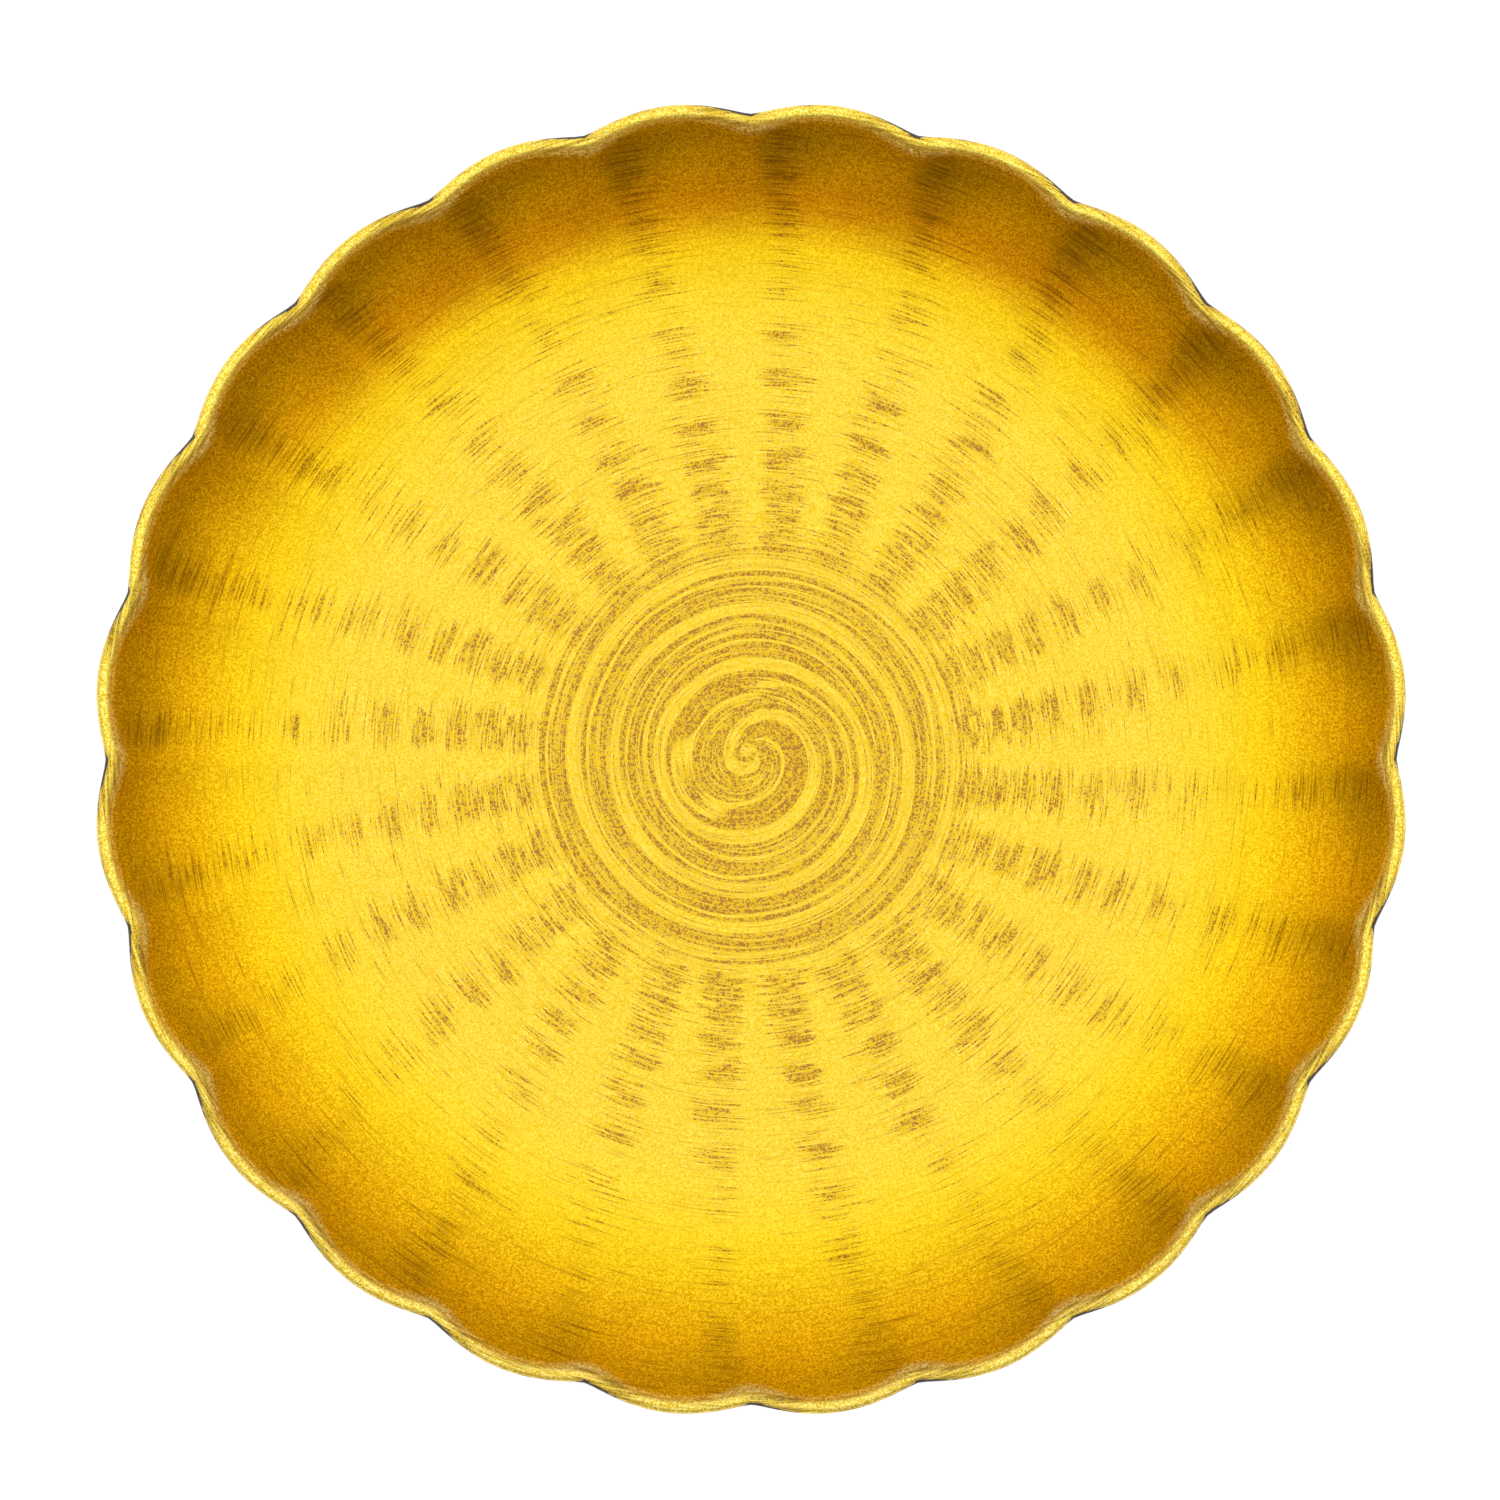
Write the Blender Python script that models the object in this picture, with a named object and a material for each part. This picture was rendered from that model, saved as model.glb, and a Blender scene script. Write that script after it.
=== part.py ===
"""Scalloped brass tray on a soldered foot ring with felt pads.

The dish is one pressed sheet. Its floor is flat in the middle, its wall curves up to the rim, and
shallow flutes run out from the floor and end as scallops. The sheet's edge is curled over a wire,
which stiffens it. A turned foot ring is soldered under the floor and carries felt pads.

Every size is in metres. The tray is centred on Z, with +Z up, and stands on Z = 0.
"""

import math

import bmesh
import bpy
from mathutils import Vector

MM = 0.001

# Fit between pieces that touch
FIT_GAP = 0.3 * MM

# Dish
RIM_DIAMETER = 330.0 * MM  # across two opposite scallop crowns
FLOOR_DIAMETER = 210.0 * MM  # where the wall starts to rise
SHEET_THICKNESS = 0.8 * MM
WALL_SLOPE = math.radians(46.0)  # of the wall where it meets the rim's fillet

# Flutes
FLUTE_COUNT = 24
FLUTE_DEPTH = 3.3 * MM  # from a crown in to a notch, at the rim
FLUTE_START_DIAMETER = 116.0 * MM  # inside this the floor is plain
FLUTE_GROWTH = 1.5  # power by which a flute deepens towards the rim
NOTCH_SOFTNESS = 0.1  # 0 makes each notch a sharp corner
RIDGE_HEIGHT = 0.5 * MM  # of the ridge between two flutes, midway out

# Rim, curled over a wire
WIRE_DIAMETER = 1.4 * MM
RIM_FILLET_RADIUS = 1.0 * MM  # of the sheet's middle, where the wall turns up into the curl
CURL_ENTRY = math.radians(78.0)  # slope of the sheet where the curl starts
CURL_ANGLE = math.radians(290.0)  # how far the sheet turns around the wire

# Foot ring
FOOT_INSET = 12.0 * MM  # from the floor's edge in to the middle of the ring
FOOT_WIDTH = 9.0 * MM
FOOT_HEIGHT = 3.5 * MM
FOOT_BEVEL = 0.8 * MM  # along the ring's lower edges

# Felt pads
PAD_COUNT = 4
PAD_MARGIN = 0.4 * MM  # from the pad's edge to the edge of the ring's flat underside
PAD_THICKNESS = 1.2 * MM

# Fineness of the curves
COLUMNS_PER_FLUTE = 4
FLOOR_STEPS = 2
WALL_STEPS = 7
FILLET_STEPS = 2
CURL_STEPS = 9
WIRE_SIDES = 8
FOOT_COLUMNS = 72
PAD_SIDES = 24
SMOOTH_ANGLE = math.radians(35.0)

# Worked out from the sizes above
RIM_RADIUS = RIM_DIAMETER / 2
FLOOR_RADIUS = FLOOR_DIAMETER / 2
FLUTE_START_RADIUS = FLUTE_START_DIAMETER / 2
CURL_RADIUS = WIRE_DIAMETER / 2 + FIT_GAP + SHEET_THICKNESS / 2
WIRE_CIRCLE_RADIUS = RIM_RADIUS - CURL_RADIUS - SHEET_THICKNESS / 2
FOOT_RADIUS = FLOOR_RADIUS - FOOT_INSET
FOOT_BASE = PAD_THICKNESS + FIT_GAP
FOOT_TOP = FOOT_BASE + FOOT_HEIGHT
FLOOR_MIDDLE = FOOT_TOP + FIT_GAP + SHEET_THICKNESS / 2
PAD_DIAMETER = FOOT_WIDTH - 2 * FOOT_BEVEL - 2 * PAD_MARGIN
COLUMNS = FLUTE_COUNT * COLUMNS_PER_FLUTE


def left_of(heading):
    """The unit vector a quarter turn left of a heading, as (outwards, up)."""
    return Vector((-math.sin(heading), math.cos(heading)))


def sheet_layout():
    """Places the wall's arc, the rim's fillet and the curl end to end along the sheet's middle."""
    from_wire = CURL_RADIUS * left_of(CURL_ENTRY)
    fillet = from_wire + RIM_FILLET_RADIUS * left_of(CURL_ENTRY)
    wall_end = fillet - RIM_FILLET_RADIUS * left_of(WALL_SLOPE)
    run = WIRE_CIRCLE_RADIUS + wall_end.x - FLOOR_RADIUS
    wall_radius = run / math.sin(WALL_SLOPE)
    rise = wall_radius * (1 - math.cos(WALL_SLOPE))
    wire = Vector((WIRE_CIRCLE_RADIUS, FLOOR_MIDDLE + rise - wall_end.y))
    wall = Vector((FLOOR_RADIUS, FLOOR_MIDDLE + wall_radius))
    return wire, wire + fillet, wall, wall_radius


WIRE_PLACE, FILLET_PLACE, WALL_PLACE, WALL_RADIUS = sheet_layout()


def notch_share(angle):
    """1 on the line of a notch and 0 on the line of a crown, with a softened corner at the notch."""
    wave = math.sin(angle * FLUTE_COUNT / 2)
    softened = math.hypot(wave, NOTCH_SOFTNESS) - NOTCH_SOFTNESS
    return 1 - softened / (math.hypot(1, NOTCH_SOFTNESS) - NOTCH_SOFTNESS)


def fluted(outwards, up, along, angle):
    """Turns a point of the section to an angle, moved in and up as the flutes need.

    along is the radius of the sheet's middle there, so both faces of the sheet move together.
    """
    reach = (along - FLUTE_START_RADIUS) / (WIRE_CIRCLE_RADIUS - FLUTE_START_RADIUS)
    reach = min(max(reach, 0.0), 1.0)
    depth = FLUTE_DEPTH * reach**FLUTE_GROWTH
    ridge = RIDGE_HEIGHT * math.sin(math.pi * reach) ** 2
    notch = notch_share(angle)
    radius = outwards - depth * notch
    return Vector((radius * math.cos(angle), radius * math.sin(angle), up + ridge * notch))


def sheet_stations():
    """The sheet's middle line from the floor to the curl's end, each point with its heading."""
    stations = []
    for step in range(FLOOR_STEPS):
        outwards = FLUTE_START_RADIUS + (FLOOR_RADIUS - FLUTE_START_RADIUS) * step / FLOOR_STEPS
        stations.append((Vector((outwards, FLOOR_MIDDLE)), 0.0))
    for step in range(WALL_STEPS):
        heading = WALL_SLOPE * step / WALL_STEPS
        stations.append((WALL_PLACE - WALL_RADIUS * left_of(heading), heading))
    for step in range(FILLET_STEPS):
        heading = WALL_SLOPE + (CURL_ENTRY - WALL_SLOPE) * step / FILLET_STEPS
        stations.append((FILLET_PLACE - RIM_FILLET_RADIUS * left_of(heading), heading))
    for step in range(CURL_STEPS + 1):
        heading = CURL_ENTRY - CURL_ANGLE * step / CURL_STEPS
        stations.append((WIRE_PLACE + CURL_RADIUS * left_of(heading), heading))
    return stations


def sheet_section():
    """The sheet's outline in section: its upper face going out, then its lower face coming back.

    Each entry is (outwards, up, radius of the sheet's middle).
    """
    upper = []
    lower = []
    for middle, heading in sheet_stations():
        half = SHEET_THICKNESS / 2 * left_of(heading)
        upper.append((*(middle + half), middle.x))
        lower.append((*(middle - half), middle.x))
    return upper + lower[::-1]


def round_section(centre, radius, sides):
    """A regular polygon around the middle of a rod, as entries like those of sheet_section."""
    section = []
    for side in range(sides):
        turn = math.tau * side / sides
        point = centre + radius * left_of(turn)
        section.append((*point, centre.x))
    return section


def carried_around(name, section, columns, place, joined_section):
    """Carries a section around the Z axis and closes the result into one solid.

    place turns an entry of the section and an angle into a point. A joined section's last entry
    meets its first, as on a ring. Otherwise flat faces close the first and last rows.
    """
    mesh = bmesh.new()
    rows = []
    for entry in section:
        angles = [math.tau * column / columns for column in range(columns)]
        rows.append([mesh.verts.new(place(*entry, angle)) for angle in angles])
    pairs = list(zip(rows, rows[1:]))
    if joined_section:
        pairs.append((rows[-1], rows[0]))
    else:
        mesh.faces.new(rows[0])
        mesh.faces.new(rows[-1])
    for inner, outer in pairs:
        for column in range(columns):
            after = (column + 1) % columns
            mesh.faces.new((inner[column], outer[column], outer[after], inner[after]))
    return finished(name, mesh)


def finished(name, mesh):
    """Makes a linked object from a bmesh, with its faces outwards and its curves smooth."""
    bmesh.ops.recalc_face_normals(mesh, faces=mesh.faces)
    data = bpy.data.meshes.new(name)
    mesh.to_mesh(data)
    mesh.free()
    data.shade_smooth()
    data.set_sharp_from_angle(angle=SMOOTH_ANGLE)
    made = bpy.data.objects.new(name, data)
    bpy.context.scene.collection.objects.link(made)
    return made


def finish(name, colour, roughness, metallic):
    """A plain surface finish."""
    material = bpy.data.materials.new(name)
    material.use_nodes = True
    shader = material.node_tree.nodes["Principled BSDF"]
    shader.inputs["Base Color"].default_value = (*colour, 1.0)
    shader.inputs["Roughness"].default_value = roughness
    shader.inputs["Metallic"].default_value = metallic
    return material


def turned(outwards, up, _along, angle):
    """Turns a point of a plain round section to an angle."""
    return Vector((outwards * math.cos(angle), outwards * math.sin(angle), up))


def make_tray_body():
    """The pressed sheet: floor, fluted wall and curled rim."""
    body = carried_around("tray_body", sheet_section(), COLUMNS, fluted, joined_section=False)
    body.data.materials.append(finish("gold_brass", (0.80, 0.56, 0.08), 0.38, 1.0))
    return body


def make_rim_wire():
    """The wire inside the curl, which follows every scallop."""
    section = round_section(WIRE_PLACE, WIRE_DIAMETER / 2, WIRE_SIDES)
    wire = carried_around("rim_wire", section, COLUMNS, fluted, joined_section=True)
    wire.data.materials.append(finish("steel_wire", (0.42, 0.41, 0.40), 0.45, 1.0))
    return wire


def make_foot_ring():
    """The turned ring under the floor, bevelled along both lower edges."""
    half = FOOT_WIDTH / 2
    inner = FOOT_RADIUS - half
    outer = FOOT_RADIUS + half
    corners = (
        (inner, FOOT_TOP),
        (outer, FOOT_TOP),
        (outer, FOOT_BASE + FOOT_BEVEL),
        (outer - FOOT_BEVEL, FOOT_BASE),
        (inner + FOOT_BEVEL, FOOT_BASE),
        (inner, FOOT_BASE + FOOT_BEVEL),
    )
    section = [(outwards, up, FOOT_RADIUS) for outwards, up in corners]
    ring = carried_around("foot_ring", section, FOOT_COLUMNS, turned, joined_section=True)
    ring.data.materials.append(finish("foot_brass", (0.34, 0.22, 0.12), 0.45, 1.0))
    return ring


def make_felt_pads(ring):
    """Round pads spread evenly under the foot ring, and parented to it."""
    felt = finish("felt", (0.05, 0.045, 0.04), 0.95, 0.0)
    for number in range(PAD_COUNT):
        mesh = bmesh.new()
        bmesh.ops.create_cone(
            mesh,
            cap_ends=True,
            segments=PAD_SIDES,
            radius1=PAD_DIAMETER / 2,
            radius2=PAD_DIAMETER / 2,
            depth=PAD_THICKNESS,
        )
        pad = finished(f"felt_pad_{number + 1}", mesh)
        angle = math.tau * (number + 0.5) / PAD_COUNT
        pad.location = turned(FOOT_RADIUS, PAD_THICKNESS / 2, FOOT_RADIUS, angle)
        pad.parent = ring
        pad.data.materials.append(felt)


def main():
    """Clears the scene and makes every piece of the tray."""
    for old in list(bpy.data.objects):
        bpy.data.objects.remove(old)
    make_tray_body()
    make_rim_wire()
    make_felt_pads(make_foot_ring())


main()
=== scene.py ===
"""Scalloped brass tray with a wired rim, brushed in gold over a dark ground.

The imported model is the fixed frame. Each of its nodes is stood for by a finer surface of the same
size: the pressed sheet, the wire in its rim, the turned foot ring and its felt pads. Lengths are in
metres, with +Z up and the tray centred on Z.
"""

import logging
import math
from dataclasses import dataclass
from enum import Enum

import bpy
import numpy as np
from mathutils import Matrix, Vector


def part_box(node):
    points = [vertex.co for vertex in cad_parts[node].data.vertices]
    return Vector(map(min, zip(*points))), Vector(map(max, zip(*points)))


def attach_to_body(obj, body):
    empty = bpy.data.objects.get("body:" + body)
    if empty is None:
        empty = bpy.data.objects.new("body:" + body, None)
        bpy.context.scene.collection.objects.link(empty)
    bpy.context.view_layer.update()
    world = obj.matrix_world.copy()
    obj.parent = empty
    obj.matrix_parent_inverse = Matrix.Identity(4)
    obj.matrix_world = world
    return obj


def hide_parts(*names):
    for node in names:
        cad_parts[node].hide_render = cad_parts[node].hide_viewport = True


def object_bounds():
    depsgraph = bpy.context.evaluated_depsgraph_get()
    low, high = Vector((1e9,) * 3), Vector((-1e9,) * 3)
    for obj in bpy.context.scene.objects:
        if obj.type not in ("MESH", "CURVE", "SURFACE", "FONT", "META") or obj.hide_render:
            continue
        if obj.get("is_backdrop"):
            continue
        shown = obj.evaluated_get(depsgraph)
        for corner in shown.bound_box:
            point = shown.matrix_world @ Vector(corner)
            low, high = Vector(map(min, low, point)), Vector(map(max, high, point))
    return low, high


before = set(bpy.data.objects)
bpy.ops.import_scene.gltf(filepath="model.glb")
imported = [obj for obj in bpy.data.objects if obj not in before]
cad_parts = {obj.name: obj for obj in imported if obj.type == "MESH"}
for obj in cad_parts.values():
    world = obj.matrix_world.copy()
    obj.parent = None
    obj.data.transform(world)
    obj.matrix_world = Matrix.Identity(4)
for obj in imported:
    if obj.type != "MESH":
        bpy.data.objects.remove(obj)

CAD_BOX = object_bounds()
BODY = "root"
PAD_COUNT = 4
MM = 0.001
BAKE_MAP = "OFBake"
LIP_RUN = "lip_run"
WHITE = (1.0, 1.0, 1.0)

Socket = bpy.types.NodeSocket
Value = Socket | float | tuple
Colour = tuple[float, float, float]
Place = tuple[float, float, float]
Span = tuple[float, float]

log = logging.getLogger("tray")


class Slot(Enum):
    """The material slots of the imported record."""

    GOLD = "gold_brass"
    WIRE = "steel_wire"
    FOOT = "foot_brass"
    FELT = "felt"


def left_of(heading: np.ndarray | float) -> np.ndarray:
    """The unit vector a quarter turn left of a heading.

    Args:
        heading: angles in radians above the outward direction.

    Returns:
        An array of (outwards, up) pairs.
    """
    return np.stack([-np.sin(heading), np.cos(heading)], axis=-1)


def full_circle(count: int) -> np.ndarray:
    """Angles spread evenly round a full turn, in radians, the first at 0."""
    return np.linspace(0, 2 * np.pi, count, endpoint=False)


def quarter_circle(count: int) -> np.ndarray:
    """Angles spread evenly from 0 to a quarter turn, in radians, with both ends."""
    return np.linspace(0, np.pi / 2, count)


def run_along(section: np.ndarray) -> np.ndarray:
    """Distance along a section from its first point, as the sum of its steps' lengths."""
    return np.concatenate([[0.0], np.cumsum(np.hypot(*np.diff(section, axis=0).T))])


def turned(section: np.ndarray, columns: int, middle: Span = (0.0, 0.0)) -> np.ndarray:
    """Turns a section about an upright axis.

    Each point goes round a circle whose radius is its distance outwards, at its own height.

    Args:
        section: rows x 2 points as (outwards, up).
        columns: how many points the circle has.
        middle: where the axis stands.

    Returns:
        rows x columns x 3 places.
    """
    angle = full_circle(columns)
    x = middle[0] + section[:, :1] * np.cos(angle)
    y = middle[1] + section[:, :1] * np.sin(angle)
    return np.stack([x, y, section[:, 1:] + 0 * angle], -1)


@dataclass(frozen=True)
class Patch:
    """Corner points of a surface on a grid, with what the finishes read there.

    Attributes:
        points: rows x columns x 3 places. Columns go once around an upright axis.
        lip_run: rows x columns distances along the sheet from the lip's crest, plus on the inside.
        joined: whether the last row meets the first, as on a ring. Otherwise each end closes in a
            pole.
    """

    points: np.ndarray
    lip_run: np.ndarray
    joined: bool


@dataclass(frozen=True)
class Sizes:
    """The tray's sizes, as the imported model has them."""

    rim_radius: float = 165.0 * MM  # from the Z axis to a scallop's crown
    floor_radius: float = 105.0 * MM  # where the wall starts to rise
    sheet: float = 0.8 * MM  # thickness of the sheet
    wall_slope: float = math.radians(46.0)  # of the wall where it meets the rim's fillet
    flute_count: int = 24  # number of flutes, each with a scallop at its end
    flute_depth: float = 3.3 * MM  # from a crown in to a notch, at the rim
    flute_start: float = 58.0 * MM  # radius inside which the floor is plain
    flute_growth: float = 1.5  # power by which a flute deepens towards the rim
    notch_softness: float = 0.1  # 0 makes each notch a sharp corner
    ridge_height: float = 0.5 * MM  # of the ridge between two flutes, midway out
    wire_radius: float = 0.7 * MM  # of the wire in the curl
    fit_gap: float = 0.3 * MM  # between the wire and the sheet
    fillet_radius: float = 1.0 * MM  # of the sheet's middle, where the wall turns up into the curl
    curl_entry: float = math.radians(78.0)  # slope of the sheet where the curl starts
    curl_angle: float = math.radians(290.0)  # how far the sheet turns around the wire
    foot_inset: float = 12.0 * MM  # from the floor's edge in to the middle of the foot ring

    @property
    def curl_radius(self) -> float:
        """Radius of the sheet's middle around the wire."""
        return self.wire_radius + self.fit_gap + self.sheet / 2

    @property
    def wire_circle(self) -> float:
        """Distance of the wire from the Z axis on a crown's line."""
        return self.rim_radius - self.curl_radius - self.sheet / 2

    @property
    def floor_middle(self) -> float:
        """Height of the sheet's middle in the floor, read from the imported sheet's underside."""
        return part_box("tray_body")[0].z + self.sheet / 2


@dataclass(frozen=True)
class Flutes:
    """The flutes that turn a round section into a scalloped one."""

    sizes: Sizes

    def notch(self, angle: np.ndarray) -> np.ndarray:
        """1 on the line of a notch and 0 on a crown's.

        The formula is one less the size of a sine wave with two flutes to its length, where the
        size is taken as the root of its square plus a small square, which softens the notch.

        Args:
            angle: angles around the Z axis.

        Returns:
            The share at each angle.
        """
        soft = self.sizes.notch_softness
        wave = np.sin(angle * self.sizes.flute_count / 2)
        return 1 - (np.hypot(wave, soft) - soft) / (math.hypot(1, soft) - soft)

    def place(self, section: np.ndarray, along: np.ndarray, angle: np.ndarray) -> np.ndarray:
        """Carries a section around the Z axis and moves it in and up where the flutes need it.

        A point moves in by the flute's depth, which grows from the flutes' start with a power of
        the distance, times the notch's share. It moves up by a ridge that is highest midway.

        Args:
            section: rows x 2 points as (outwards, up).
            along: radius of the sheet's middle at each row, so that both faces move together.
            angle: angles of the columns.

        Returns:
            rows x columns x 3 places.
        """
        s = self.sizes
        reach = np.clip((along - s.flute_start) / (s.wire_circle - s.flute_start), 0, 1)[:, None]
        notch = self.notch(angle)[None, :]
        outwards = section[:, :1] - s.flute_depth * reach**s.flute_growth * notch
        up = section[:, 1:] + s.ridge_height * np.sin(np.pi * reach) ** 2 * notch
        return np.stack([outwards * np.cos(angle), outwards * np.sin(angle), up + 0 * outwards], -1)


@dataclass(frozen=True)
class SheetSection:
    """The pressed sheet in section: floor, wall, fillet and the curl around the wire."""

    sizes: Sizes

    def wire_place(self) -> np.ndarray:
        """Where the wire's middle is, as (outwards, up)."""
        return self.layout()[0]

    def layout(self) -> tuple[np.ndarray, np.ndarray, np.ndarray, float]:
        """Places the three arcs end to end, each leaving on the heading that the next one takes up.

        Returns:
            The centres of the curl, the fillet and the wall, and the wall's radius.
        """
        s = self.sizes
        fillet = (s.curl_radius + s.fillet_radius) * left_of(s.curl_entry)
        wall_end = fillet - s.fillet_radius * left_of(s.wall_slope)
        radius = (s.wire_circle + wall_end[0] - s.floor_radius) / math.sin(s.wall_slope)
        rise = radius * (1 - math.cos(s.wall_slope))
        wire = np.array([s.wire_circle, s.floor_middle + rise - wall_end[1]])
        wall = np.array([s.floor_radius, s.floor_middle + radius])
        return wire, wire + fillet, wall, radius

    def stations(
        self, floor: np.ndarray, wall: int, fillet: int, curl: int
    ) -> tuple[np.ndarray, np.ndarray]:
        """The sheet's middle line from near the centre to the curl's end.

        The floor is level, and each arc's points lie its radius away from its centre, across the
        heading.

        Args:
            floor: radii of the rows on the floor.
            wall: rows on the wall.
            fillet: rows on the fillet.
            curl: rows on the curl.

        Returns:
            rows x 2 points as (outwards, up), and the heading at each.
        """
        s = self.sizes
        wire, fillet_centre, wall_centre, radius = self.layout()
        flat = np.stack([floor, np.full(len(floor), s.floor_middle)], -1)
        up_wall = np.linspace(0, s.wall_slope, wall, endpoint=False)
        up_fillet = np.linspace(s.wall_slope, s.curl_entry, fillet, endpoint=False)
        around = np.linspace(s.curl_entry, s.curl_entry - s.curl_angle, curl)
        points = [
            flat,
            wall_centre - radius * left_of(up_wall),
            fillet_centre - s.fillet_radius * left_of(up_fillet),
            wire + s.curl_radius * left_of(around),
        ]
        headings = [np.zeros(len(floor)), up_wall, up_fillet, around]
        return np.concatenate(points), np.concatenate(headings)

    def face(self, side: float, points: np.ndarray, heading: np.ndarray) -> np.ndarray:
        """One face of the sheet, half a thickness to the left (side 1) or right (side -1)."""
        return points + side * self.sizes.sheet / 2 * left_of(heading)


class Surface:
    """Turns patches into closed Blender meshes."""

    @staticmethod
    def quads(rows: int, columns: int, joined: bool) -> np.ndarray:
        """Corner numbers of a grid's faces, with the columns closed into a ring.

        A corner's number is its row times the number of columns, plus its column.

        Args:
            rows: rows of the grid.
            columns: columns of the grid.
            joined: whether the last row meets the first.

        Returns:
            faces x 4 numbers.
        """
        row = np.arange(rows if joined else rows - 1)[:, None]
        column = np.arange(columns)[None, :]
        after, below = (column + 1) % columns, (row + 1) % rows
        corners = [row * columns + column, below * columns + column]
        corners += [below * columns + after, row * columns + after]
        return np.stack([c + 0 * row * column for c in corners], -1).reshape(-1, 4)

    @staticmethod
    def build(name: str, patch: Patch) -> bpy.types.Object:
        """Makes a mesh object from a patch.

        Args:
            name: the piece's name.
            patch: its points. An open patch gets a pole in the middle of its first and last row.

        Returns:
            The linked object, shaded smooth, with its faces outwards.
        """
        rows, columns, _ = patch.points.shape
        points = patch.points.reshape(-1, 3)
        runs = patch.lip_run.reshape(-1)
        faces = Surface.quads(rows, columns, patch.joined).tolist()
        if not patch.joined:
            points = np.concatenate([points, patch.points[[0, -1]].mean(axis=1)])
            runs = np.concatenate([runs, patch.lip_run[[0, -1], 0]])
            ring = np.arange(columns)
            after = (ring + 1) % columns
            first, last = rows * columns, rows * columns + 1
            start = (rows - 1) * columns
            faces += np.stack([np.full(columns, first), ring, after], -1).tolist()
            faces += np.stack([np.full(columns, last), start + after, start + ring], -1).tolist()
        mesh = bpy.data.meshes.new(name)
        mesh.from_pydata(points.tolist(), [], faces)
        run = mesh.attributes.new(LIP_RUN, "FLOAT", "POINT")
        run.data.foreach_set("value", runs.astype(np.float32))
        mesh.shade_smooth()
        mesh.update()
        made = bpy.data.objects.new(name, mesh)
        bpy.context.scene.collection.objects.link(made)
        return made

    @staticmethod
    def plain(name: str, points: np.ndarray, joined: bool) -> bpy.types.Object:
        """Makes a mesh object that has nothing to do with the lip, from its grid of points."""
        return Surface.build(name, Patch(points, np.zeros(points.shape[:2]), joined))


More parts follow.
